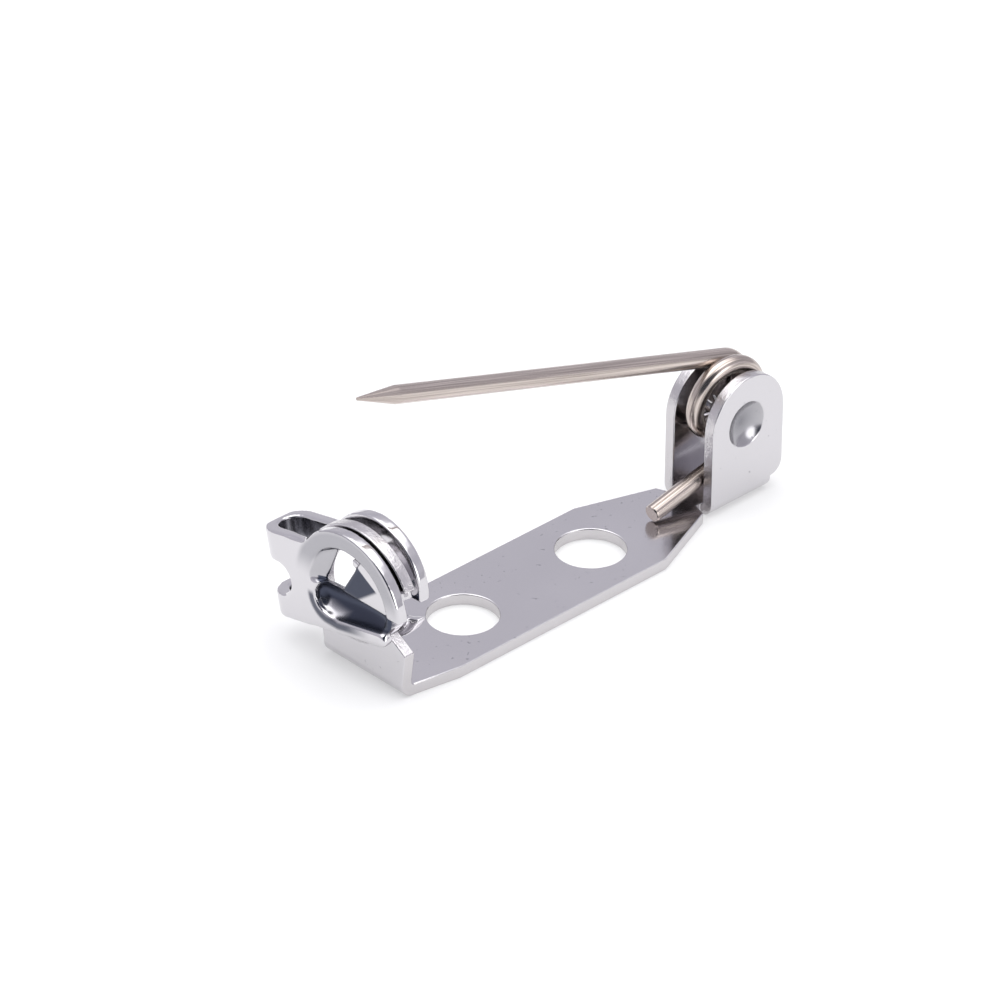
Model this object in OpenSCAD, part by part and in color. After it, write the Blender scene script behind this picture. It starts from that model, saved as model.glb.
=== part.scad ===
// Brooch pin finding: a stamped bar with two sewing holes, a turning safety catch
// at one end and a sprung wire pin on a pair of dimpled ears at the other.
// X runs along the bar towards the hinge, Z is up, and the origin is midway
// between the two sewing holes on the underside of the bar.

/* [Sheet and wire] */
// Thickness of the stamped base sheet
sheet_t = 0.46; // [0.40:0.01:0.55]
// Thickness of the catch rotor's sheet
rotor_t = 0.48; // [0.35:0.01:0.50]
// Diameter of the pin wire
wire_d = 0.68; // [0.50:0.02:0.70]
// Clearance between pieces that turn against each other
run_gap = 0.06; // [0.04:0.01:0.10]
// Inside radius of the bends in the base sheet
bend_r = 0.12; // [0.05:0.01:0.20]

/* [Bar] */
// Length of the base over the catch plate and the hinge end
base_l = 20; // [18:0.5:24]
// Width of the bar
bar_w = 4.8; // [4:0.1:6]
// From the middle of the two holes to the hinge end
hinge_reach = 12; // [11:0.25:13]
// Diameter of each sewing hole
hole_d = 2.64; // [1.5:0.02:2.8]
// Distance between the centres of the sewing holes
hole_pitch = 6.36; // [5:0.02:7]
// Width of the bar where it bends up into the catch plate
catch_neck_w = 4.1; // [3.6:0.1:4.6]
// Length of the slight taper at the catch end
catch_taper_l = 1.9; // [1:0.1:2.5]
// Length of the taper at the hinge end
hinge_taper_l = 3.2; // [2:0.1:3.6]
// From the end of that taper to the near edge of the ears
ear_notch_w = 0.42; // [0.2:0.02:0.6]

/* [Catch plate] */
// Height of the catch's axis above the underside of the bar
hub_z = 3.3; // [3.2:0.05:3.6]
// Distance of the catch's axis from the bar's centre line
hub_y = 0.15; // [-0.2:0.05:0.2]
// Radius of the round head of the catch plate
head_r = 2.72; // [2.5:0.02:2.8]
// Radius of the bore that the rotor turns in
bore_r = 1.75; // [1.6:0.01:1.85]
// Angle of the mouth's upper end above level
mouth_up = 27; // [20:1:35]
// Angle of the mouth's lower end below level
mouth_down = 31; // [25:1:35]
// Height of the shoulder at the foot of the mouth
shoulder_z = 2; // [1.6:0.05:2.1]
// Width of the catch plate's foot at its shoulder
foot_w = 4.45; // [4:0.05:4.6]

/* [Catch rotor] */
// Radius of the rotor's front disc
front_r = 2.68; // [2.5:0.02:2.75]
// Radius of the rotor's back disc
back_r = 2.34; // [2.3:0.02:2.5]
// How far the back disc's middle sits above the axis
back_up = 0.34; // [0:0.02:0.36]
// How far the back disc's middle sits towards the handle
back_side = 0.2; // [0:0.02:0.3]
// Radius of the front disc's opening at its face
lip_r = 2.04; // [1.9:0.02:2.1]
// Radius of the front disc's opening at its back
dish_r = 1.84; // [1.78:0.01:1.88]
// Depth over which the back disc's opening narrows
dish_depth = 0.4; // [0.3:0.02:0.44]
// Radius of the back layer's window beside the hub
window_r = 1.02; // [0.9:0.02:1.1]
// Radius of that window's end in the handle
window_end_r = 0.8; // [0.7:0.02:0.84]
// From the axis to the middle of the window's wide end
window_y = 1.2; // [1.1:0.05:1.3]
// From the axis to the middle of the window's end in the handle
window_end_y = 2.9; // [2.6:0.05:3]
// How far the hub's open side reaches past the axis, away from the handle
hub_open_y = 0.35; // [0.2:0.05:0.5]
// How far the hub's open side reaches below the axis
hub_open_down = 0.6; // [0.4:0.05:0.8]
// Wall of the hub that joins the two discs
hub_wall = 0.28; // [0.22:0.01:0.35]
// Gap between the catch plate and the front disc
front_gap = 0.08; // [0.05:0.01:0.15]
// Gap between the catch plate and the back disc
back_gap = 0.5; // [0.1:0.02:0.6]
// Tilt of the handle below level when the catch is open
handle_dip = 12; // [8:1:16]
// From the axis to the outside of the fold at the end of the handle
handle_reach = 4.55; // [4.4:0.05:5]
// Top edge of the handle above the axis
handle_top = 1.92; // [1.6:0.02:2]
// Bottom edge of the handle below the axis
handle_foot = 1.44; // [1.36:0.02:1.6]
// Radius of the corners of the handle's fold
handle_corner = 0.3; // [0.1:0.05:0.5]
// Half the width of the notch in the handle's fold
notch_r = 0.64; // [0.4:0.02:0.8]
// From the outside of the fold to the middle of the notch's round end
notch_in = 0.9; // [0.4:0.05:1]
// Height of the notch above the handle's centre line
notch_up = 0.1; // [-0.2:0.02:0.3]
// Radius of the fillet between the front disc and the handle
front_fillet = 0.3; // [0.1:0.05:0.5]
// Radius of the fillet between the back disc and the handle
back_fillet = 0.9; // [0.1:0.05:1.2]
// Height of the pin slot's level upper edge above the axis
slot_up = 0.25; // [0.2:0.01:0.4]
// Depth of the slot's lower edge below the handle's centre line
slot_down = 0.9; // [0.86:0.01:0.95]
// Radius of the slot's closed end
slot_end_r = 0.64; // [0.6:0.01:0.66]
// From the axis to the middle of the slot's closed end
slot_end_y = 1.05; // [1:0.05:1.25]
// From the axis to the end of the lip below the slot
lip_end = 1.7; // [1.4:0.05:1.9]
// Free edge of the web beside the dished opening, at its top
web_top_y = -0.57; // [-0.8:0.02:-0.4]
// Free edge of that web, at its foot
web_foot_y = 0.39; // [0:0.02:0.6]
// Depth of the web behind the front face
web_in = 0.1; // [0.06:0.01:0.14]
// Thickness of the web beside the dished opening
web_t = 0.26; // [0.15:0.01:0.3]

/* [Hinge ears] */
// Length of each ear along the bar
ear_l = 3.72; // [3.4:0.02:4]
// Height of the ears above the underside of the bar
ear_h = 5.3; // [4.8:0.05:5.6]
// Distance of the hinge's middle from the bar's centre line
hinge_y = 0.09; // [0:0.01:0.12]
// Height of the hinge dimples' centre
dimple_z = 3.35; // [3.3:0.01:3.4]
// Radius of a dimple's rim on the outside
dimple_rim_r = 0.92; // [0.7:0.02:0.96]
// Radius of a dimple's flat floor
dimple_floor_r = 0.5; // [0.4:0.02:0.6]
// Depth of a dimple
dimple_depth = 0.34; // [0.25:0.01:0.34]
// Radius of the raised stub inside each ear at its root
stub_root_r = 0.42; // [0.3:0.01:0.42]
// Radius of that stub at its tip
stub_tip_r = 0.18; // [0.1:0.01:0.18]
// Height of that stub
stub_h = 0.3; // [0.1:0.01:0.3]

/* [Wire pin] */
// Height of the coil's axis above the underside of the bar
coil_z = 4.08; // [4:0.01:4.1]
// Distance of the coil's axis from the hinge end
coil_back = 2.03; // [1.95:0.01:2.1]
// Outside radius of the coil
coil_r = 1.735; // [1.7:0.005:1.8]
// Angle of the needle above level when the pin hangs open
needle_rise = 17.2; // [12:0.2:25]
// Length of the needle from the coil to its tip
needle_l = 18.85; // [18:0.05:20.5]
// Length of the ground point
point_l = 1.8; // [1:0.1:3]
// Radius of the blunted tip
tip_r = 0.06; // [0.04:0.01:0.1]
// Angle of the tail below level
tail_dip = 12.4; // [9:0.1:14]
// Level distance from the coil's axis to the tail's cut end
tail_reach = 3.95; // [3:0.05:4.6]

/* [Hidden] */
$fn = 96;
// How far a cut runs past the faces that it opens
past = 1;

// Where the catch plate and the hinge stand along the bar
catch_x = hinge_reach - base_l;
bend_out = bend_r + sheet_t;
ear_x = hinge_reach - ear_l;
ear_r = ear_l / 2;
taper_x = ear_x - ear_notch_w;

// The two turns of wire side by side between the ears
wire_r = wire_d / 2;
coil_c = coil_r - wire_r;
coil_x = hinge_reach - coil_back;
ear_gap = 2 * wire_d + 3 * run_gap;
turn_y = (wire_d + run_gap) / 2;

// How far a straight run starts inside the bend that it leaves, and how much thinner
// it is, so that no face of it lies exactly on a face of the bend
nip = 0.01;

// The rotor's layers and its hub in the bore
rotor_x = catch_x - front_gap - rotor_t;
rotor_w = front_gap + sheet_t + back_gap + 2 * rotor_t;
hub_r = bore_r - run_gap;
throat_r = hub_r - hub_wall;

// Middle of the fold at the end of the handle, measured from the axis
fold_u = handle_reach - rotor_w / 2;

// How much of a full turn each half of the coil takes
near_sweep = 240;
far_sweep = 290;

// Middle of the arc that leads the coil down into the tail
tail_end_z = sheet_t + run_gap / 3 + wire_r * cos(tail_dip);
tail_fall = (tail_reach + coil_c * sin(tail_dip)) * tan(tail_dip);
tail_arc_z = tail_end_z + tail_fall + coil_c * cos(tail_dip);

// Turns a flat outline in Y and Z into a plate of thickness t that starts at x
module plate_x(x, t) {
    translate([x, 0, 0]) rotate([90, 0, 90]) linear_extrude(t) children();
}

// Turns a flat outline in X and Z into a plate of thickness t that ends at y
module plate_y(y, t) {
    translate([0, y + t, 0]) rotate([90, 0, 0]) linear_extrude(t) children();
}

// A quarter bend in the base sheet, l long along Y, that curls up from the bar's
// catch end about a line at the origin
module quarter_bend(l) {
    rotate([90, 0, 0]) linear_extrude(l, center = true) intersection() {
        difference() {
            circle(bend_out);
            circle(bend_r);
        }
        translate([-bend_out, -bend_out]) square(bend_out);
    }
}

// Base plate

module bar_outline() {
    half = bar_w / 2;
    neck = catch_neck_w / 2;
    floor_y = ear_gap / 2 - bend_r;
    root = ear_gap / 2 + sheet_t;
    bend_x = catch_x + bend_out;
    polygon([
        [bend_x, -neck], [bend_x + catch_taper_l, -half],
        [taper_x - hinge_taper_l, -half], [taper_x, hinge_y - root],
        [taper_x + ear_notch_w / 2, hinge_y - floor_y], [hinge_reach, hinge_y - floor_y],
        [hinge_reach, hinge_y + floor_y], [taper_x + ear_notch_w / 2, hinge_y + floor_y],
        [taper_x, hinge_y + root], [taper_x - hinge_taper_l, half],
        [bend_x + catch_taper_l, half], [bend_x, neck]
    ]);
}

module bar() {
    difference() {
        linear_extrude(sheet_t) bar_outline();
        for (side = [-1, 1])
            translate([side * hole_pitch / 2, 0, -past]) cylinder(d = hole_d, h = sheet_t + 2 * past);
    }
}

// The mouth through which the pin enters, as a wedge opening towards -Y
module mouth() {
    reach = 2 * head_r;
    polygon([
        [0, 0], [-reach * cos(mouth_up), reach * sin(mouth_up)],
        [-reach * cos(mouth_down), -reach * sin(mouth_down)]
    ]);
}

module catch_plate() {
    half = catch_neck_w / 2;
    top = foot_w / 2;
    foot_z = bend_out;
    plate_x(catch_x, sheet_t) difference() {
        union() {
            translate([hub_y, hub_z]) circle(head_r);
            polygon([
                [-half, foot_z], [half, foot_z], [half, foot_z + bend_r],
                [top, shoulder_z], [-top, shoulder_z], [-half, foot_z + bend_r]
            ]);
        }
        translate([hub_y, hub_z]) circle(bore_r);
        translate([hub_y, hub_z]) mouth();
        translate([-2 * bar_w, foot_z - bar_w]) square([4 * bar_w, bar_w]);
    }
    translate([catch_x + bend_out, 0, bend_out]) quarter_bend(catch_neck_w);
}

// One ear with its rounded top, from the bend upwards
module ear_outline() {
    corner = bend_out;
    translate([ear_x + ear_r, ear_h - ear_r]) circle(ear_r);
    translate([ear_x, bend_out]) square([ear_l - corner, ear_h - ear_r - bend_out]);
    translate([ear_x, bend_out + corner]) square([ear_l, ear_h - ear_r - bend_out - corner]);
    translate([hinge_reach - corner, bend_out + corner]) circle(corner);
}

// An ear on the side that is given as -1 or 1, with its dimple pressed inwards
module ear(side) {
    inner = ear_gap / 2;
    dimple_x = ear_x + ear_r + (coil_x - ear_x - ear_r) / 2;
    translate([0, hinge_y, 0]) mirror([0, side < 0 ? 0 : 1, 0]) {
        difference() {
            union() {
                plate_y(-inner - sheet_t, sheet_t) ear_outline();
                translate([dimple_x, -inner - sheet_t / 2, dimple_z]) rotate([-90, 0, 0])
                    cylinder(r = stub_root_r, h = sheet_t / 2);
                translate([dimple_x, -inner, dimple_z]) rotate([-90, 0, 0])
                    cylinder(r1 = stub_root_r, r2 = stub_tip_r, h = stub_h);
            }
            translate([dimple_x, -inner - sheet_t, dimple_z]) rotate([-90, 0, 0])
                cylinder(r1 = dimple_rim_r, r2 = dimple_floor_r, h = dimple_depth);
        }
        translate([(ear_x + hinge_reach - bend_out) / 2, -inner + bend_r, bend_out])
            rotate([0, 0, 90]) quarter_bend(ear_l - bend_out);
    }
}

module base_plate() {
    color("gainsboro") {
        bar();
        catch_plate();
        ear(-1);
        ear(1);
    }
}

// Catch rotor, drawn about its own axis, with the handle along +Y until it is
// tipped down by handle_dip. The pin slot runs level towards -Y.

// The strip that runs from a disc to the fold
module strip_outline() {
    translate([slot_end_y, -handle_foot]) square([fold_u - slot_end_y, handle_foot + handle_top]);
}

// Fills the corner between the top of that strip and a disc of radius r about
// the point c with a fillet of radius f
module corner_fill(c, r, f) {
    up = handle_top - c[1];
    centre = [c[0] + sqrt(pow(r + f, 2) - pow(up + f, 2)), handle_top + f];
    difference() {
        polygon([
            [centre[0], handle_top], centre, c + (centre - c) * r / (r + f),
            [c[0] + sqrt(r * r - up * up) - f / 2, handle_top - f / 2], [centre[0], handle_top - f / 2]
        ]);
        translate(centre) circle(f);
    }
}

// The bend that joins both layers at the end of the handle, with its corners
// rounded as seen from the end of the bar
module fold() {
    c = handle_corner;
    h = handle_foot + handle_top;
    intersection() {
        translate([rotor_x + rotor_w / 2, fold_u, -handle_foot]) linear_extrude(h) difference() {
            circle(rotor_w / 2);
            circle(rotor_w / 2 - rotor_t);
            translate([-rotor_w, -2 * rotor_w]) square(2 * rotor_w);
        }
        plate_x(rotor_x - past, rotor_w + 2 * past) {
            translate([fold_u - past, c - handle_foot]) square([handle_reach - fold_u + past, h - 2 * c]);
            translate([fold_u - past, -handle_foot]) square([handle_reach - fold_u + past - c, h]);
            for (w = [c - handle_foot, handle_top - c]) translate([handle_reach - c, w]) circle(c);
        }
    }
}

// The notch through the fold and both layers of the handle
module notch() {
    plate_x(rotor_x - past, rotor_w + 2 * past) translate([handle_reach - notch_in, notch_up]) {
        circle(notch_r);
        translate([0, -notch_r]) square([notch_in + past, 2 * notch_r]);
    }
}

// The rounded lip that closes the front disc below the pin slot
module lip_outline() {
    r = (handle_foot - slot_down) / 2;
    translate([-lip_end + r, -handle_foot]) square([lip_end - r + lip_r, 2 * r]);
    translate([-lip_end + r, -handle_foot + r]) circle(r);
}

// The front disc above the slot, with the handle's front layer
module front_outline() {
    intersection() {
        circle(front_r);
        rotate(handle_dip) translate([-front_r, slot_up / 2]) square([2 * front_r, 2 * front_r]);
    }
    strip_outline();
    corner_fill([0, 0], front_r, front_fillet);
}

// The back disc with the handle's back layer
module back_outline() {
    c = [
        back_side * cos(handle_dip) - back_up * sin(handle_dip),
        back_side * sin(handle_dip) + back_up * cos(handle_dip)
    ];
    translate(c) circle(back_r);
    strip_outline();
    corner_fill(c, back_r, back_fillet);
}

// A tapered round opening through one disc, from its outer face inwards
module dish(inner_r, depth) {
    rotate([0, 90, 0]) {
        cylinder(r1 = lip_r, r2 = inner_r, h = depth);
        translate([0, 0, depth - nip]) cylinder(r = inner_r, h = rotor_w);
        translate([0, 0, -past]) cylinder(r = lip_r, h = past);
    }
}

module front_layer() {
    difference() {
        plate_x(rotor_x, rotor_t) front_outline();
        translate([rotor_x, 0, 0]) dish(dish_r, rotor_t - nip);
    }
    plate_x(rotor_x, rotor_t) lip_outline();
}

// The long window through the back layer, from the hub to the notch
module window_outline() {
    rise = notch_up + notch_r - window_end_r;
    run = window_end_y - window_y;
    slope = atan2(rise, run);
    spread = acos((window_r - window_end_r) / sqrt(run * run + rise * rise));
    up = [cos(slope + spread), sin(slope + spread)];
    down = [cos(slope - spread), sin(slope - spread)];
    wide = [window_y, 0];
    end = [window_end_y, rise];
    translate(wide) circle(window_r);
    translate(end) circle(window_end_r);
    polygon([
        wide + window_r * down, end + window_end_r * down,
        end + window_end_r * up, wide + window_r * up
    ]);
}

module back_layer() {
    difference() {
        plate_x(rotor_x + rotor_w - rotor_t, rotor_t) back_outline();
        translate([rotor_x + rotor_w, 0, 0]) rotate([0, 0, 180]) dish(throat_r, dish_depth);
        plate_x(rotor_x + rotor_w / 2, rotor_w) window_outline();
    }
}

// The hub, open on the side of the handle
module hub() {
    difference() {
        translate([rotor_x + rotor_t / 2, 0, 0]) rotate([0, 90, 0]) difference() {
            cylinder(r = hub_r, h = rotor_w - rotor_t);
            translate([0, 0, -past]) cylinder(r = throat_r, h = rotor_w + 2 * past);
        }
        plate_x(rotor_x - past, rotor_w + 2 * past)
            translate([-hub_open_y, -hub_open_down]) square(2 * bore_r);
    }
}

// The level slot that the pin lies in, open towards -Y
module slot_outline() {
    floor_z = slot_up - 2 * slot_end_r;
    floor_y = (-slot_down - floor_z * cos(handle_dip)) / sin(handle_dip);
    far = -1.5 * front_r;
    polygon([
        [slot_end_y, slot_up], [far, slot_up],
        [far, (-slot_down - far * sin(handle_dip)) / cos(handle_dip)],
        [floor_y, floor_z], [slot_end_y, floor_z]
    ]);
    translate([slot_end_y, slot_up - slot_end_r]) circle(slot_end_r);
}

// The part of the front disc's sheet that stays beside its opening
module web() {
    plate_x(rotor_x + web_in, web_t) intersection() {
        circle((lip_r + throat_r) / 2 + 0.2);
        polygon([
            [web_foot_y, slot_up], [-front_r, slot_up], [-front_r, lip_r],
            [web_top_y - 0.2, lip_r], [web_top_y, lip_r * 0.9]
        ]);
    }
}

module lock_rotor() {
    color("silver") translate([0, hub_y, hub_z]) {
        difference() {
            rotate([-handle_dip, 0, 0]) difference() {
                union() {
                    front_layer();
                    back_layer();
                    hub();
                    fold();
                }
                notch();
            }
            plate_x(rotor_x - past, rotor_w + 2 * past) slot_outline();
        }
        web();
    }
}

// Wire pin, drawn about the coil's axis in X and Z

// Bent wire in the plane y, round the coil's radius from the angle a on. It
// climbs over the coil from the +X side when up is 1 and runs under it at -1.
module wire_arc(y, z, a, sweep, up) {
    translate([0, y, z]) rotate([90 * up, 0, 0]) rotate([0, 0, a * up]) rotate_extrude(angle = sweep)
        translate([coil_c, 0]) circle(wire_r);
}

// Straight wire that starts just inside the bend that it leaves
module wire_run(l) {
    translate([0, 0, -nip]) cylinder(r = wire_r - nip, h = l + nip);
}

// The needle: straight wire with a long ground point and a blunted tip
module needle_shape() {
    wire_run(needle_l - point_l);
    translate([0, 0, needle_l - point_l]) cylinder(r1 = wire_r - nip, r2 = tip_r, h = point_l);
}

module pin_needle() {
    start = 90 - needle_rise;
    color("rosybrown") translate([coil_x, 0, coil_z]) {
        wire_arc(hinge_y + turn_y, 0, start, far_sweep, -1);
        translate([coil_c * cos(start), hinge_y + turn_y, coil_c * sin(start)])
            rotate([0, needle_rise - 90, 0]) needle_shape();
    }
}

module pin_tail() {
    drop = tail_arc_z - coil_z;
    y = hinge_y - turn_y;
    low = tail_dip - 90;
    run = (tail_reach + coil_c * sin(tail_dip)) / cos(tail_dip);
    color("rosybrown") translate([coil_x, 0, coil_z]) {
        wire_arc(y, 0, 0, near_sweep, 1);
        translate([coil_c, y, drop]) rotate([0, 0, 90]) cylinder(r = wire_r, h = -drop);
        wire_arc(y, drop, 0, -low, -1);
        translate([coil_c * cos(low), y, drop + coil_c * sin(low)])
            rotate([0, -90 - tail_dip, 0]) wire_run(run);
    }
}

base_plate();
lock_rotor();
pin_needle();
pin_tail();
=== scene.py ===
"""Looks of the brooch pin finding: a bright nickel-plated bar stamped from sheet, with
a turning safety catch at one end and a sprung wire pin between two ears at the other.

X runs along the bar towards the hinge and Z is up, in metres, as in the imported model.
"""

import math

import bmesh
import bpy
import numpy as np
from mathutils import Matrix, Vector


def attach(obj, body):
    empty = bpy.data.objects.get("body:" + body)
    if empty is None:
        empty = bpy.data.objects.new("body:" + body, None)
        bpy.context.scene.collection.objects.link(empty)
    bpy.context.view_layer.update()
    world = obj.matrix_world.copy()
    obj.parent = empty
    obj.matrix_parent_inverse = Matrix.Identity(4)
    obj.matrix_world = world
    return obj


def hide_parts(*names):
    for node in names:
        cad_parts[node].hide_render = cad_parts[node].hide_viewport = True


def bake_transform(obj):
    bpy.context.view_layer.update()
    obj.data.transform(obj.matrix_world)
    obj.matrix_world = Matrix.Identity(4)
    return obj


MM = 0.001

# Sizes in millimetres, the same as in the part's source
WIRE_R = 0.34
COIL_MIDDLE = (9.97, 4.08)  # X and Z
COIL_R = 1.395
HINGE_Y = 0.09
TURN_SPACING = 0.74
TAIL_DIP = math.radians(12.4)
TAIL_REACH = 3.95
TAIL_END_Z = 0.812
NEEDLE_RISE = math.radians(17.2)
NEEDLE_LENGTH = 18.85
POINT_LENGTH = 1.8
TIP_R = 0.06
HUB = (0.15, 3.3)  # Y and Z
ROTOR_X = -8.56
ROTOR_WIDTH = 2.0
OPENING_R = 2.04
DISH_DEPTH = 0.4
HANDLE_DIP = math.radians(12)
HANDLE_TOP = 1.92
HANDLE_REACH = 4.55
SLOT_UP = 0.25
SLOT_DOWN = 0.9
SLOT_END_R = 0.64
SLOT_END_Y = 1.05
EAR_X = 8.28
EAR_INNER = 0.77
SHEET = 0.46
BEND_OUT = 0.58
CATCH_X = -8.0
DIMPLE = (10.055, 3.35)  # X and Z
DIMPLE_R = 0.92
DIMPLE_DEPTH = 0.34

# The flat in the opening's wall, which is in this scene alone: its distance from the rotor's
# axis, and its turn above level
FACET_FROM = 1.36
FACET_TURN = math.radians(22)


def linear(colour):
    """A colour written as sRGB hex, as the linear red, green, blue and alpha that nodes take."""
    parts = [int(colour[i : i + 2], 16) / 255 for i in (1, 3, 5)]
    return [p / 12.92 if p <= 0.04045 else ((p + 0.055) / 1.055) ** 2.4 for p in parts] + [1]


def node(tree, kind, sockets=None, **settings):
    """Adds one node with its settings. A socket takes a value, or the output that feeds it."""
    made = tree.nodes.new(kind)
    for name, value in settings.items():
        setattr(made, name, value)
    for name, value in (sockets or {}).items():
        if isinstance(value, bpy.types.Node):
            value = value.outputs[0]
        if isinstance(value, bpy.types.NodeSocket):
            tree.links.new(value, made.inputs[name])
        else:
            made.inputs[name].default_value = value
    return made


def material(name):
    made = bpy.data.materials.new(name)
    made.use_nodes = True
    made.node_tree.nodes.clear()
    return made, made.node_tree


# Materials


def noise(tree, place, scale, **sockets):
    """A noise pattern with forms about 1 / scale wide, in the units of the place."""
    made = node(tree, "ShaderNodeTexNoise", {"Vector": place, "Scale": scale, **sockets})
    return made.outputs[0]


def spread(tree, value, low, high, to_low, to_high):
    """The value, with low to high stretched to the range from to_low to to_high."""
    return node(tree, "ShaderNodeMapRange", {0: value, 1: low, 2: high, 3: to_low, 4: to_high})


def tones(tree, share, first, second):
    """The first colour where share is 0 and the second where it is 1."""
    mixed = node(tree, "ShaderNodeMix", {0: share, 6: first, 7: second}, data_type="RGBA")
    return mixed.outputs[2]


def bump(tree, height, strength, depth, coarser=None):
    """Bumps up to depth mm high, which may lie on coarser ones."""
    sockets = {"Strength": strength, "Distance": depth * MM, "Height": height}
    if coarser:
        sockets["Normal"] = coarser
    return node(tree, "ShaderNodeBump", sockets)


def metal(tree, colour, rough, normal):
    """The one shader that all the metals share."""
    skin = node(
        tree,
        "ShaderNodeBsdfPrincipled",
        {"Base Color": colour, "Metallic": 1.0, "Roughness": rough, "Normal": normal},
    )
    node(tree, "ShaderNodeOutputMaterial", {"Surface": skin})


def plated_sheet():
    """Bright nickel over cold-rolled steel sheet: nearly a mirror, softened by the faint smears
    and specks left by barrel plating, with shade painted darker into the dimples."""
    made, tree = material("nickel plate on stamped steel sheet")
    place = node(tree, "ShaderNodeTexCoord").outputs["Object"]
    painted_shade = node(tree, "ShaderNodeAttribute", attribute_name="painted_shade").outputs["Fac"]
    # Smears 3 mm long, and specks of 0.2 mm, in a metal that is otherwise even
    smear = spread(tree, noise(tree, place, 330, Detail=3), 0.3, 0.7, 0.1, 0.2)
    specks = spread(tree, noise(tree, place, 5200, Detail=2), 0.69, 0.74, 0.0, 0.3)
    # The specks, and the shade painted into the dimples, darken the tone
    specks_and_painted_shade = node(tree, "ShaderNodeMath", {0: specks, 1: painted_shade}, operation="ADD", use_clamp=True)
    tone = tones(tree, specks_and_painted_shade, linear("#D0CED1"), linear("#3E414C"))
    rough = node(tree, "ShaderNodeMath", {0: painted_shade, 1: 0.2, 2: smear}, operation="MULTIPLY_ADD")
    # The skin of the plating ripples over about 0.2 mm
    ripple = noise(tree, place, 4800, Detail=2)
    metal(tree, tone, rough, bump(tree, ripple, 0.09, 0.01))
    return made


def sheared_edge():
    """The cut edge of the same sheet: plated as well, but pushed into waves and torn into small
    scores by the stamping tool, so that it glitters in streaks instead of mirroring."""
    made, tree = material("plated sheared edge of the sheet")
    place = node(tree, "ShaderNodeTexCoord").outputs["Object"]
    # Waves of about 0.7 mm and scores of about 0.1 mm
    waves = bump(tree, noise(tree, place, 1400, Detail=1), 0.6, 0.08)
    scores = noise(tree, place, 9000, Detail=3, Roughness=0.7)
    metal(tree, linear("#CBC8CA"), 0.22, bump(tree, scores, 0.8, 0.02, waves))
    return made


def plated_rotor():
    """Bright nickel over deep-pressed steel: smoother than the bar, so it mirrors cleanly. Shade
    is painted in grey-blue into the hub, the fold, the creases and the web, and lightly on the
    front disc and the flat in the opening's wall."""
    made, tree = material("nickel plate on pressed steel rotor")
    place = node(tree, "ShaderNodeTexCoord").outputs["Object"]
    painted_shade = node(tree, "ShaderNodeAttribute", attribute_name="painted_shade").outputs["Fac"]
    # Painted shade: the tone goes to grey-blue where the shade attribute is high
    tone = tones(tree, painted_shade, linear("#D2D0D3"), linear("#464A58"))
    # Smears about 2 mm long
    smear = spread(tree, noise(tree, place, 450, Detail=3), 0.3, 0.7, 0.07, 0.15)
    rough = node(tree, "ShaderNodeMath", {0: painted_shade, 1: 0.22, 2: smear}, operation="MULTIPLY_ADD")
    # The skin ripples over about 0.4 mm, as pressed metal does
    ripple = noise(tree, place, 2400, Detail=2)
    metal(tree, tone, rough, bump(tree, ripple, 0.08, 0.02))
    return made


def drawn_wire():
    """Spring wire, drawn through a die and thinly plated: lengthwise lines about 0.04 mm apart
    and a warmer, duller grey than the sheet."""
    made, tree = material("plated drawn spring wire")
    around = node(tree, "ShaderNodeAttribute", attribute_name="around").outputs["Vector"]
    along = node(tree, "ShaderNodeAttribute", attribute_name="along").outputs["Fac"]
    # The lines keep their place round the wire over about 7 mm of its length
    slow = node(tree, "ShaderNodeMath", {0: along, 1: 0.018}, operation="MULTIPLY")
    lift = node(tree, "ShaderNodeCombineXYZ", {"Z": slow})
    spot = node(tree, "ShaderNodeVectorMath", {0: around, 1: lift}, operation="ADD")
    lines = noise(tree, spot, 8, Detail=4, Roughness=0.6)
    streaks = spread(tree, lines, 0.3, 0.66, 0.0, 1.0)
    tone = tones(tree, streaks, linear("#8C827C"), linear("#D9CEC7"))
    rough = spread(tree, lines, 0.3, 0.7, 0.3, 0.18)
    metal(tree, tone, rough, bump(tree, lines, 0.35, 0.01))
    return made


# Pieces


def settle(name, mesh, body, replaced):
    """Puts a finished mesh on its body, in the place of the CAD nodes that it stands for."""
    piece = bpy.data.objects.new(name, mesh)
    bpy.context.collection.objects.link(piece)
    if body:
        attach(piece, body)
    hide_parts(*replaced)
    return piece


def whole_copy(cad_name):
    """The CAD node's surface in millimetres, as one closed mesh on an object of its own. Points
    that coincide are joined, and the triangles of a flat become one face."""
    form = bmesh.new()
    form.from_mesh(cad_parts[cad_name].data)
    bmesh.ops.scale(form, vec=(1 / MM,) * 3, verts=form.verts)
    bmesh.ops.remove_doubles(form, verts=form.verts, dist=0.002)
    bmesh.ops.dissolve_limit(
        form, angle_limit=math.radians(0.5), verts=form.verts, edges=form.edges
    )
    mesh = bpy.data.meshes.new(cad_name + " form")
    form.to_mesh(mesh)
    form.free()
    rough = bpy.data.objects.new(cad_name + " form", mesh)
    bpy.context.collection.objects.link(rough)
    return rough


def finished(rough, finish):
    """The rough form with its modifiers worked in, as a plain mesh in metres."""
    mesh = bpy.data.meshes.new_from_object(
        rough.evaluated_get(bpy.context.evaluated_depsgraph_get())
    )
    bpy.data.objects.remove(rough)
    mesh.transform(Matrix.Scale(MM, 4))
    mesh.materials.clear()
    mesh.materials.append(finish)
    return mesh


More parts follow.
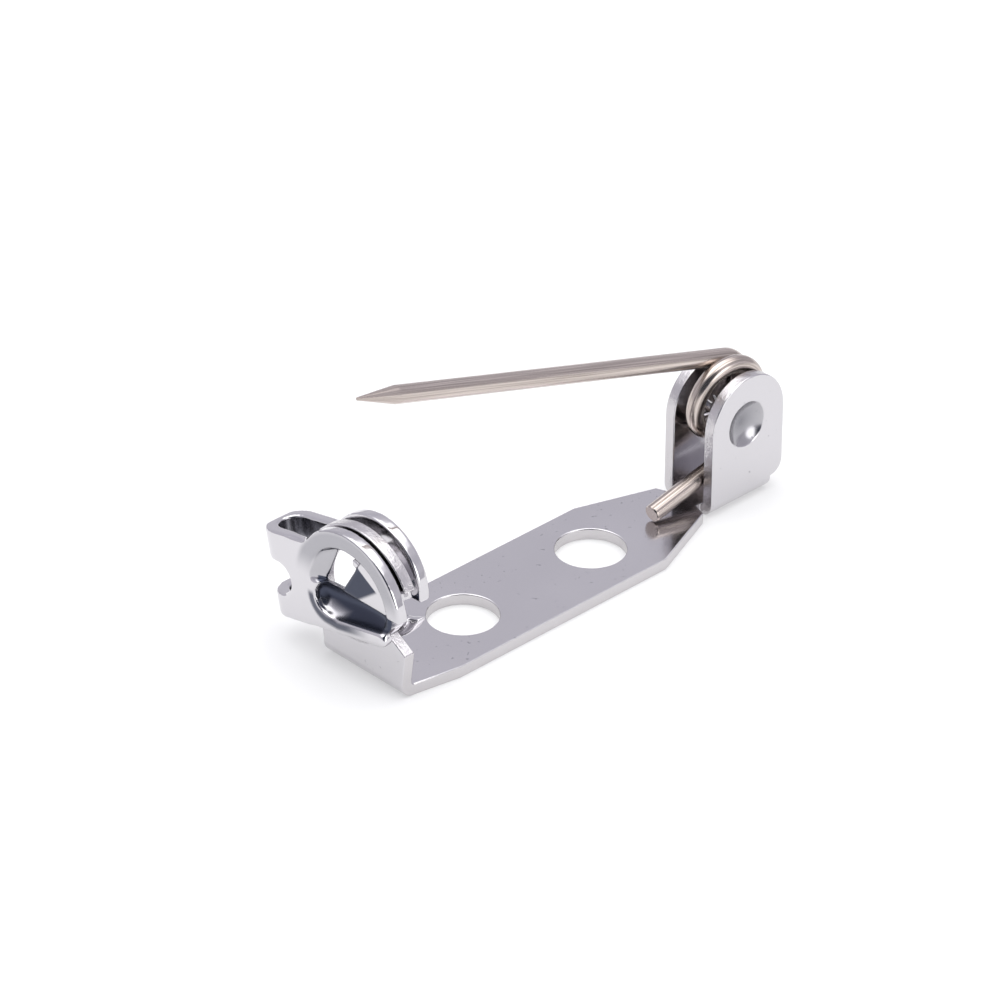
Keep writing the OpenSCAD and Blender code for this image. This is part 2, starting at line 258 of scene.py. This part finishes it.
def press_dimples(mesh):
    """Changes the plain cone of each dimple, on the outside of its ear, to a smooth bowl."""
    steps, roundness, slack = 10, 2.6, 0.01
    form = bmesh.new()
    form.from_mesh(mesh)
    for side in (-1, 1):
        face_y = HINGE_Y + side * (EAR_INNER + SHEET)
        middle = Vector((DIMPLE[0], face_y, DIMPLE[1]))

        def distance(vert):
            return math.hypot(vert.co.x - middle.x, vert.co.z - middle.z)

        def outside(vert):
            return side * (vert.co.y - face_y) > -DIMPLE_DEPTH - slack

        cone = [
            face
            for face in form.faces
            if all(distance(v) < DIMPLE_R + slack and outside(v) for v in face.verts)
        ]
        rim = {e for face in cone for e in face.edges if any(f not in cone for f in e.link_faces)}
        bmesh.ops.delete(form, geom=cone, context="FACES")
        ring = [edge for edge in rim if edge.is_valid]
        for step in range(1, steps + 1):
            grown = bmesh.ops.extrude_edge_only(form, edges=ring)["geom"]
            ring = [part for part in grown if isinstance(part, bmesh.types.BMEdge)]
            # The last ring stays a little open, for the face that closes the bowl
            share = math.cos(step / (steps + 0.6) * math.pi / 2)
            sink = DIMPLE_DEPTH * (1 - share**roundness)
            for vert in {v for edge in ring for v in edge.verts}:
                arm = Vector((vert.co.x - middle.x, 0, vert.co.z - middle.z)).normalized()
                vert.co = middle + arm * DIMPLE_R * share - Vector((0, side * sink, 0))
        bmesh.ops.contextual_create(form, geom=ring)
    bmesh.ops.recalc_face_normals(form, faces=form.faces)
    form.to_mesh(mesh)
    form.free()


def is_cut(middle, way):
    """Whether a face of the base sheet was sheared by the stamping tool, from where it is and the
    way it points: away from its sheet's own normal, and in a bend along the bend's line."""
    off_normal, along_bend = 0.35, 0.7
    x, y, z = middle
    on_ear = x > EAR_X - 0.05 and abs(y - HINGE_Y) > EAR_INNER - 0.14
    on_catch = x < CATCH_X + BEND_OUT
    if on_ear:
        return abs(way.y) < off_normal if z > BEND_OUT else abs(way.x) > along_bend
    if on_catch:
        return abs(way.x) < off_normal if z > BEND_OUT else abs(way.y) > along_bend
    return abs(way.z) < off_normal


def stamped(cad_name, edge_r, finish, cut_finish):
    """A form cut and folded from sheet: flat faces, with every sharp edge rounded to edge_r. It
    carries a point attribute of shade painted into the dimples, most of all in the middle."""
    rough = whole_copy(cad_name)
    press_dimples(rough.data)
    for face in rough.data.polygons:
        face.use_smooth = True
    round_off = rough.modifiers.new("rounded edges", "BEVEL")
    round_off.width = edge_r
    round_off.segments = 3
    round_off.limit_method = "ANGLE"
    round_off.angle_limit = math.radians(32)
    round_off.use_clamp_overlap = False
    flats = rough.modifiers.new("flat faces shaded flat", "WEIGHTED_NORMAL")
    flats.weight = 100
    mesh = finished(rough, finish)
    mesh.materials.append(cut_finish)
    for face in mesh.polygons:
        if is_cut(face.center / MM, face.normal):
            face.material_index = 1
    # Painted shade in the dimples, most of all in the middle
    shade_paint = mesh.attributes.new("painted_shade", "FLOAT", "POINT")
    for vert, value in zip(mesh.vertices, shade_paint.data):
        x, y, z = vert.co / MM
        inwards = EAR_INNER + SHEET - abs(y - HINGE_Y)
        in_pit = x > EAR_X and 0.02 < inwards < SHEET - 0.02
        from_middle = math.hypot(x - DIMPLE[0], z - DIMPLE[1]) / DIMPLE_R
        value.value = 0.7 - 0.4 * from_middle if in_pit and from_middle < 0.99 else 0
    return mesh


def flow(spots, pairs, passes, share):
    """Lets the points of a skin settle towards their neighbours: share is how far each one may."""
    count = np.bincount(pairs.ravel(), minlength=len(spots))[:, None]
    for _ in range(passes):
        pull = np.zeros_like(spots)
        for axis in range(3):
            pull[:, axis] = np.bincount(
                pairs[:, 0], spots[pairs[:, 1], axis], minlength=len(spots)
            ) + np.bincount(pairs[:, 1], spots[pairs[:, 0], axis], minlength=len(spots))
        spots += (pull / count - spots) * share[:, None]
    return spots


def past(value, edge, soft):
    """1 where the value is past the edge by soft or more, 0 before the edge, smooth between."""
    part = np.clip((value - edge) / soft, 0, 1)
    return part * part * (3 - 2 * part)


def short_of(value, edge, soft):
    """1 where the value is short of the edge by soft or more, 0 past the edge, smooth between."""
    return past(-value, -edge, soft)


# On the rotor, deep runs back from its front face, and y and z start at its axis


def on_handle(y, z):
    """How far a spot is out along the handle, and how far up across it."""
    out = y * math.cos(HANDLE_DIP) - z * math.sin(HANDLE_DIP)
    up = z * math.cos(HANDLE_DIP) + y * math.sin(HANDLE_DIP)
    return out, up


def slot_floor(y):
    """Height of the pin slot's lower edge."""
    return np.maximum(
        (-SLOT_DOWN - y * math.sin(HANDLE_DIP)) / math.cos(HANDLE_DIP),
        SLOT_UP - 2 * SLOT_END_R,
    )


def add_shell(mesh, front, back):
    """Adds a closed shell to the mesh between two grids of points of the same size."""
    form = bmesh.new()
    form.from_mesh(mesh)
    rows, columns = front.shape[:2]
    sides = [
        [[form.verts.new(point) for point in row] for row in grid] for grid in (front, back)
    ]
    for r in range(rows - 1):
        for c in range(columns - 1):
            for grid in sides:
                form.faces.new((grid[r][c], grid[r][c + 1], grid[r + 1][c + 1], grid[r + 1][c]))
    border = [(0, c) for c in range(columns)] + [(r, columns - 1) for r in range(1, rows)]
    border += [(rows - 1, c) for c in range(columns - 2, -1, -1)]
    border += [(r, 0) for r in range(rows - 2, 0, -1)]
    for this, after in zip(border, border[1:] + border[:1]):
        (a, b), (c, d) = this, after
        form.faces.new((sides[0][a][b], sides[0][c][d], sides[1][c][d], sides[1][a][b]))
    bmesh.ops.recalc_face_normals(form, faces=form.faces)
    form.to_mesh(mesh)
    form.free()


def pin_trough():
    """The hollow guard that the pin's point lies in, pressed back from the slot's edges, as its
    front and back grids."""
    length, wall = 3.6, 0.15
    edge_depth, hollow_depth = 0.12, 0.62
    # How far it reaches into the front sheet at the slot's end, upper edge and lower edge
    past_end, past_top, past_foot = 0.02, 0.03, 0.05

    along, across = np.meshgrid(np.linspace(0, 1, 40), np.linspace(0, 1, 16), indexing="ij")
    y = SLOT_END_Y + SLOT_END_R + past_end - length * along
    round_end = np.sqrt(np.clip(1 - (np.maximum(y - SLOT_END_Y, 0) / SLOT_END_R) ** 2, 0, 1))
    top = SLOT_UP - SLOT_END_R * (1 - round_end) + past_top
    foot = np.where(y > SLOT_END_Y, SLOT_UP - SLOT_END_R * (1 + round_end), slot_floor(y))
    z = top + (foot - past_foot - top) * across
    hollow = np.sin(math.pi * across) ** 0.8 * (0.35 + 0.65 * np.sin(math.pi * along) ** 0.5)
    # Outside the bore of the catch plate, only the front sheet's thickness is free
    free_depth = 0.3 + 0.5 * short_of(np.hypot(y, z), 1.7, 0.35)
    deep = np.minimum(edge_depth + hollow_depth * hollow, free_depth)
    return np.stack([deep, y, z], -1), np.stack([deep + wall, y, z], -1)


def slot_collar():
    """The front sheet round the closed end of the slot, as its front and back grids."""
    thick, widest = 0.47, 1.15
    # It ends below the opening, which starts this far above the middle of the slot's end
    up_to = 0.46
    turn, share = np.meshgrid(
        np.radians(np.linspace(44, -100, 40)), np.linspace(0, 1, 4), indexing="ij"
    )
    outside = np.minimum(up_to / np.maximum(np.sin(turn), 0.01), widest)
    out = SLOT_END_R + (outside - SLOT_END_R) * share
    y = SLOT_END_Y + out * np.cos(turn)
    z = SLOT_UP - SLOT_END_R + out * np.sin(turn)
    return np.stack([0 * y, y, z], -1), np.stack([0 * y + thick, y, z], -1)


def wall_facet():
    """The flat that the wall of the front opening is pressed into on the handle's side, as its
    front and back grids. It slopes back from the opening's rim."""
    thick, outermost, upper_end, lower_z = 0.09, 2.2, 1.6, 0.05
    away, share = np.meshgrid(
        np.linspace(FACET_FROM, outermost, 30), np.linspace(0, 1, 50), indexing="ij"
    )
    lower_end = (lower_z - math.sin(FACET_TURN) * away) / math.cos(FACET_TURN)
    aside = lower_end + (upper_end - lower_end) * share
    y = away * math.cos(FACET_TURN) - aside * math.sin(FACET_TURN)
    z = away * math.sin(FACET_TURN) + aside * math.cos(FACET_TURN)
    slope = DISH_DEPTH * (OPENING_R - away) / (OPENING_R - FACET_FROM)
    deep = np.maximum(slope, 0.015)
    return np.stack([deep, y, z], -1), np.stack([deep + thick, y, z], -1)


def rolled(deep, y, z):
    """How much the press rounds the rotor, from 0 to 1, beyond the rounding of every edge."""
    out, up = on_handle(y, z)
    # The lip below the slot is rolled
    lip = short_of(z, slot_floor(y) + 0.15, 0.15) * short_of(y, 2.1, 0.4)
    lip *= short_of(deep, 0.7, 0.15)
    # The handle's top edge runs into the front disc in one curve
    corner = past(up, HANDLE_TOP - 0.3, 0.2) * short_of(abs(out - 2), 0.9, 0.6)
    corner *= short_of(deep, 0.75, 0.2)
    # The closed end of the slot runs into the wall of the opening
    nook = short_of(abs(y - 1.75), 0.5, 0.2) * short_of(abs(z - 0.1), 0.32, 0.15)
    nook *= short_of(deep, 0.6, 0.1)
    return np.maximum(np.maximum(0.7 * lip, corner), nook)


def painted_shade_on_rotor(deep, y, z):
    """How much shade is painted on the rotor, from 0 to 1."""
    from_axis = np.hypot(y, z)
    out, up = on_handle(y, z)

    # Painted shade on the web beside the opening, between four straight edges
    web = short_of(0.855 * z - 0.518 * y, 1.63, 0.04)
    web *= short_of(y, 0.42 - (z - SLOT_UP) * 0.6, 0.05)
    web *= past(0.61 * y + 0.79 * z, -0.14, 0.14) * past(z, 0.27, 0.04)
    web *= past(deep, 0.03, 0.05) * short_of(deep, 0.3, 0.05)

    # Painted shade on the hub's floor, and on the guard behind the slot, lighter low down near its
    # end
    floor = short_of(from_axis, 1.5, 0.03) * short_of(z, 0.3, 0.1) * past(deep, 0.2, 0.4)
    guard = past(z - slot_floor(y), -0.1, 0.15) * short_of(z, 0.27, 0.03)
    guard *= past(deep, 0.1, 0.1) * short_of(deep, 0.95, 0.1) * short_of(y, 1.72, 0.05)
    guard *= 1 - 0.75 * short_of(z, slot_floor(y) + 0.42, 0.2) * past(y, 0.2, 0.7)

    # Painted shade inside the handle's fold
    loop_r = ROTOR_WIDTH / 2
    from_loop = np.hypot(deep - loop_r, np.maximum(out - HANDLE_REACH + loop_r, 0))
    fold = short_of(from_loop, 0.56, 0.07) * past(out, 1.6, 0.3)
    fold *= short_of(up, HANDLE_TOP - 0.03, 0.08)

    # Painted shade in the crease below the slot's lip
    under_slot = np.where(
        y > SLOT_END_Y,
        np.hypot(y - SLOT_END_Y, z - SLOT_UP + SLOT_END_R) - SLOT_END_R,
        slot_floor(y) - z,
    )
    crease = past(under_slot, 0.04, 0.07) * short_of(under_slot, 0.4, 0.16)
    crease *= past(y, -1.3, 1.5) * short_of(z, -0.3, 0.25) * short_of(deep, 0.3, 0.1)

    # Lighter painted shade on the front disc round the opening, darker towards its top, and on the
    # flat in the opening's wall
    disc = past(from_axis, 1.9, 0.15) * short_of(from_axis, 2.75, 0.25)
    disc *= past(z, 0.1, 1.1) * short_of(deep, 0.15, 0.1)
    away = y * math.cos(FACET_TURN) + z * math.sin(FACET_TURN)
    facet = past(away, FACET_FROM - 0.06, 0.04) * short_of(from_axis, 2.03, 0.04)
    facet *= past(z, 0, 0.1) * past(deep, 0.03, 0.05) * short_of(deep, 0.55, 0.02)

    shade_paint = web + np.maximum(floor, guard) + 0.9 * (fold + crease) + 0.42 * disc + 0.3 * facet
    return np.clip(shade_paint, 0, 1)


def pressed_rotor(finish):
    """The rotor, drawn deep in a press: edges and inner corners flow round, flats stay flat, the
    lip below the pin slot is rolled, and a hollow guard closes the slot behind it."""
    rough = whole_copy("lock_rotor")
    middle = np.array((ROTOR_X, *HUB))
    for front, back in (pin_trough(), slot_collar(), wall_facet()):
        add_shell(rough.data, front + middle, back + middle)
    skin = rough.modifiers.new("even skin", "REMESH")
    skin.mode = "VOXEL"
    # In mm: fine enough for the sheet's edges, and coarse enough for 200,000 triangles
    skin.voxel_size = 0.039
    skin.use_smooth_shade = True
    mesh = finished(rough, finish)
    spots = np.empty(len(mesh.vertices) * 3)
    mesh.vertices.foreach_get("co", spots)
    spots = spots.reshape(-1, 3) / MM - middle
    pairs = np.empty(len(mesh.edges) * 2, int)
    mesh.edges.foreach_get("vertices", pairs)
    pairs = pairs.reshape(-1, 2)
    spots = flow(spots, pairs, 14, np.full(len(spots), 0.5))
    spots = flow(spots, pairs, 40, 0.5 * rolled(*spots.T))
    # Shade painted into the hub, the fold, the creases, the web and round the opening
    painted_shade = mesh.attributes.new("painted_shade", "FLOAT", "POINT")
    painted_shade.data.foreach_set("value", painted_shade_on_rotor(*spots.T))
    mesh.vertices.foreach_set("co", ((spots + middle) * MM).ravel())
    return mesh


def wire_tree(finish):
    """Bends a wire from its cut tail end, round the coil, to the point of the needle. Every run
    starts where the one before it ends, in the same direction."""
    tree = bpy.data.node_groups.new("bent pin wire", "GeometryNodeTree")
    tree.is_modifier = True
    names = {
        "Start": "NodeSocketVector",
        "Tail Length": "NodeSocketFloat",
        "Tail Dip": "NodeSocketFloat",
        "Rise": "NodeSocketFloat",
        "Coil Radius": "NodeSocketFloat",
        "Coil Angle": "NodeSocketFloat",
        "Turn Spacing": "NodeSocketFloat",
        "Wire Radius": "NodeSocketFloat",
        "Length": "NodeSocketFloat",
        "Point Length": "NodeSocketFloat",
        "Tip Radius": "NodeSocketFloat",
        "Points": "NodeSocketInt",
    }
    tree.interface.new_socket("Geometry", in_out="OUTPUT", socket_type="NodeSocketGeometry")
    for name, kind in names.items():
        tree.interface.new_socket(name, in_out="INPUT", socket_type=kind)
    size = node(tree, "NodeGroupInput").outputs

    def maths(operation, a, b=0.0, c=0.0):
        return node(tree, "ShaderNodeMath", {0: a, 1: b, 2: c}, operation=operation)

    def within(value, top):
        return node(tree, "ShaderNodeClamp", {"Value": value, "Min": 0.0, "Max": top})

    # How far along the wire each point lies, and how much of each run is behind it: the tail,
    # the low bend up from the tail, the short rise, the coil and the needle
    last = maths("SUBTRACT", size["Points"], 1.0)
    spacing = maths("DIVIDE", size["Length"], last)
    along = maths("MULTIPLY", node(tree, "GeometryNodeInputIndex"), spacing)
    r = size["Coil Radius"]
    tail = within(along, size["Tail Length"])
    past_tail = maths("SUBTRACT", along, size["Tail Length"])
    low_turn = maths("SUBTRACT", math.pi / 2, size["Tail Dip"])
    low = within(maths("DIVIDE", past_tail, r), low_turn)
    past_low = maths("SUBTRACT", past_tail, maths("MULTIPLY", low_turn, r))
    rise = within(past_low, size["Rise"])
    past_rise = maths("SUBTRACT", past_low, size["Rise"])
    coil = within(maths("DIVIDE", past_rise, r), size["Coil Angle"])
    past_coil = maths("SUBTRACT", past_rise, maths("MULTIPLY", size["Coil Angle"], r))
    needle = maths("MAXIMUM", past_coil, 0.0)

    low_from = maths("SUBTRACT", size["Tail Dip"], math.pi / 2)
    low_at = maths("ADD", low_from, low)
    low_x = maths("SUBTRACT", maths("COSINE", low_at), maths("COSINE", low_from))
    low_z = maths("SUBTRACT", maths("SINE", low_at), maths("SINE", low_from))
    coil_x = maths("SUBTRACT", maths("COSINE", coil), 1.0)
    round_x = maths("MULTIPLY", maths("ADD", low_x, coil_x), r)
    round_z = maths("MULTIPLY", maths("ADD", low_z, maths("SINE", coil)), r)
    x = maths("MULTIPLY_ADD", tail, maths("COSINE", size["Tail Dip"]), round_x)
    z = maths("MULTIPLY_ADD", tail, maths("SINE", size["Tail Dip"]), round_z)
    z = maths("ADD", z, rise)
    needle_x = maths("MULTIPLY", maths("SINE", size["Coil Angle"]), -1.0)
    x = maths("MULTIPLY_ADD", needle, needle_x, x)
    z = maths("MULTIPLY_ADD", needle, maths("COSINE", size["Coil Angle"]), z)
    # The angles of the coil between which the wire moves over to its next turn
    over_from, over_to = 0.35, 5.9
    y = node(
        tree,
        "ShaderNodeMapRange",
        {0: coil, 1: over_from, 2: over_to, 3: 0.0, 4: size["Turn Spacing"]},
        interpolation_type="SMOOTHSTEP",
    )
    spot = node(tree, "ShaderNodeCombineXYZ", {"X": x, "Y": y, "Z": z})
    spot = node(tree, "ShaderNodeVectorMath", {0: spot, 1: size["Start"]}, operation="ADD")

    # The ground point tapers to its tip, and the edge of the tail's cut end is just broken
    point_from = maths("SUBTRACT", size["Length"], size["Point Length"])
    tip = maths("DIVIDE", size["Tip Radius"], size["Wire Radius"])
    taper = node(
        tree,
        "ShaderNodeMapRange",
        {0: along, 1: point_from, 2: size["Length"], 3: 1.0, 4: tip},
    )
    cut = node(tree, "ShaderNodeMapRange", {0: along, 1: 0.0, 2: spacing, 3: 0.9, 4: 1.0})
    thick = maths("MULTIPLY", taper, cut)

    line = node(tree, "GeometryNodeMeshLine", {"Count": size["Points"]})
    line = node(tree, "GeometryNodeSetPosition", {"Geometry": line, "Position": spot})
    line = node(
        tree,
        "GeometryNodeStoreNamedAttribute",
        {"Geometry": line, "Name": "along", "Value": maths("DIVIDE", along, MM)},
        data_type="FLOAT",
    )
    line = node(
        tree,
        "GeometryNodeStoreNamedAttribute",
        {"Geometry": line, "Name": "thick", "Value": thick},
        data_type="FLOAT",
    )
    line = node(tree, "GeometryNodeMeshToCurve", {"Mesh": line})
    kept = node(tree, "GeometryNodeInputNamedAttribute", {"Name": "thick"}, data_type="FLOAT")
    ring = node(
        tree,
        "GeometryNodeCurvePrimitiveCircle",
        {"Resolution": 40, "Radius": size["Wire Radius"]},
    )
    around = node(
        tree,
        "ShaderNodeVectorMath",
        {0: node(tree, "GeometryNodeInputPosition")},
        operation="NORMALIZE",
    )
    ring = node(
        tree,
        "GeometryNodeStoreNamedAttribute",
        {"Geometry": ring, "Name": "around", "Value": around},
        data_type="FLOAT_VECTOR",
    )
    wire = node(
        tree,
        "GeometryNodeCurveToMesh",
        {"Curve": line, "Profile Curve": ring, "Scale": kept, "Fill Caps": True},
    )
    wire = node(tree, "GeometryNodeSetShadeSmooth", {0: wire})
    wire = node(tree, "GeometryNodeRealizeInstances", {0: wire})
    wire = node(tree, "GeometryNodeSetMaterial", {"Geometry": wire, "Material": finish})
    node(tree, "NodeGroupOutput", {0: wire})
    return tree


def bent_wire(finish):
    """The pin's wire as one plain mesh."""
    low_turn = math.pi / 2 - TAIL_DIP
    tail_length = (TAIL_REACH + COIL_R * math.sin(TAIL_DIP)) / math.cos(TAIL_DIP)
    arc_z = TAIL_END_Z + tail_length * math.sin(TAIL_DIP) + COIL_R * math.cos(TAIL_DIP)
    rise = COIL_MIDDLE[1] - arc_z
    coil_angle = 2.5 * math.pi - NEEDLE_RISE
    length = tail_length + rise + COIL_R * (low_turn + coil_angle) + NEEDLE_LENGTH
    sizes = {
        "Start": (
            (COIL_MIDDLE[0] - TAIL_REACH) * MM,
            (HINGE_Y - TURN_SPACING / 2) * MM,
            TAIL_END_Z * MM,
        ),
        "Tail Length": tail_length * MM,
        "Tail Dip": TAIL_DIP,
        "Rise": rise * MM,
        "Coil Radius": COIL_R * MM,
        "Coil Angle": coil_angle,
        "Turn Spacing": TURN_SPACING * MM,
        "Wire Radius": WIRE_R * MM,
        "Length": length * MM,
        "Point Length": POINT_LENGTH * MM,
        "Tip Radius": TIP_R * MM,
        "Points": 900,
    }
    carrier = bpy.data.objects.new("pin wire path", bpy.data.meshes.new("pin wire path"))
    bpy.context.collection.objects.link(carrier)
    bend = carrier.modifiers.new("bent wire", "NODES")
    bend.node_group = wire_tree(finish)
    for item in bend.node_group.interface.items_tree:
        if item.in_out == "INPUT":
            bend[item.identifier] = sizes[item.name]
    mesh = bpy.data.meshes.new_from_object(
        carrier.evaluated_get(bpy.context.evaluated_depsgraph_get())
    )
    bpy.data.objects.remove(carrier)
    for face in mesh.polygons:
        face.use_smooth = len(face.vertices) == 4
    return mesh


def set_floor():
    """A milky table top lit from below, so that shadows on it stay faint."""
    mesh = bpy.data.meshes.new("table top")
    half = 0.6
    mesh.from_pydata(
        [(-half, -half, 0), (half, -half, 0), (half, half, 0), (-half, half, 0)],
        [],
        [(0, 1, 2, 3)],
    )
    made, tree = material("back-lit milky acrylic table top")
    paper = node(
        tree,
        "ShaderNodeBsdfPrincipled",
        {
            "Base Color": linear("#C8C8C8"),
            "Roughness": 0.9,
            "Emission Color": linear("#FFFFFF"),
            "Emission Strength": 0.38,
        },
    )
    node(tree, "ShaderNodeOutputMaterial", {"Surface": paper})
    mesh.materials.append(made)
    floor = bpy.data.objects.new("table_top", mesh)
    bpy.context.collection.objects.link(floor)


def set_light():
    """A white tent on a white table: a bright roof, grey walls, one soft lamp at the right, and
    the dark opening that the camera looks in through."""
    world = bpy.data.worlds.new("soft white tent")
    bpy.context.scene.world = world
    world.use_nodes = True
    tree = world.node_tree
    tree.nodes.clear()
    way = node(tree, "ShaderNodeTexCoord").outputs["Generated"]
    parts = node(tree, "ShaderNodeSeparateXYZ", {0: way})
    tent = node(tree, "ShaderNodeValToRGB", {"Fac": parts.outputs["Z"]})
    ramp = tent.color_ramp
    ramp.elements[0].color = linear("#77767B")
    ramp.elements[1].color = linear("#FFFFFF")
    steps = ((0.2, "#86858A"), (0.45, "#7E7D83"), (0.7, "#8C8B90"), (0.8, "#DCDCDE"))
    for height, colour in steps:
        ramp.elements.new(height).color = linear(colour)
    seen = tent.outputs[0]
    # The lamp and the opening: where their middles are, and the cosines of the angles from
    # there at which each one starts and is whole
    patches = (
        ((0.12, -0.96, 0.25), 0.94, 0.97, "#FFFFFF"),
        ((-0.5858, -0.6151, 0.5277), 0.77, 0.88, "#1C2029"),
    )
    for middle, start, whole, colour in patches:
        towards = node(
            tree, "ShaderNodeVectorMath", {0: way, 1: middle}, operation="DOT_PRODUCT"
        )
        inside = node(
            tree,
            "ShaderNodeMapRange",
            {0: towards.outputs["Value"], 1: start, 2: whole},
            interpolation_type="SMOOTHSTEP",
        )
        seen = tones(tree, inside, seen, linear(colour))
    glow = node(tree, "ShaderNodeBackground", {"Color": seen, "Strength": 3.0})
    node(tree, "ShaderNodeOutputWorld", {"Surface": glow})


def set_camera():
    """A long lens at the photograph's angle."""
    lens = bpy.data.cameras.new("camera")
    lens.lens = 180
    lens.sensor_width = 36
    lens.clip_start = 0.01
    camera = bpy.data.objects.new("camera", lens)
    bpy.context.collection.objects.link(camera)
    aim, distance = Vector((3.595, 5.207, 0)) * MM, 185.11 * MM
    turn, lift = math.radians(-43.607), math.radians(31.855)
    level = math.cos(lift)
    back = Vector((math.sin(turn) * level, -math.cos(turn) * level, math.sin(lift)))
    camera.location = aim + back * distance
    camera.rotation_mode = "QUATERNION"
    camera.rotation_quaternion = (-back).to_track_quat("-Z", "Y")
    bpy.context.scene.camera = camera


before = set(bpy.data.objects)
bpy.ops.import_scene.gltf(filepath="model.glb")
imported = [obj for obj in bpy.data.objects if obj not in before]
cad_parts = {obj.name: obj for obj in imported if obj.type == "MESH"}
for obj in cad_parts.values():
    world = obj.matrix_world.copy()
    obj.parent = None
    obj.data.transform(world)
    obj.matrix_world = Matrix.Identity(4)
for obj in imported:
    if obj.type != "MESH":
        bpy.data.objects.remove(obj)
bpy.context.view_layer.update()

sheet = plated_sheet()
wire_finish = drawn_wire()
settle(
    "base_sheet",
    stamped("base_plate", 0.05, sheet, sheared_edge()),
    "base",
    ["base_plate"],
)
settle("catch_rotor", pressed_rotor(plated_rotor()), "rotor", ["lock_rotor"])
wire = settle(
    "pin_wire", bent_wire(wire_finish), None, ["pin_tail", "pin_needle"]
)
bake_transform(wire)

set_floor()
set_light()
set_camera()
bpy.context.scene.view_settings.view_transform = "Standard"
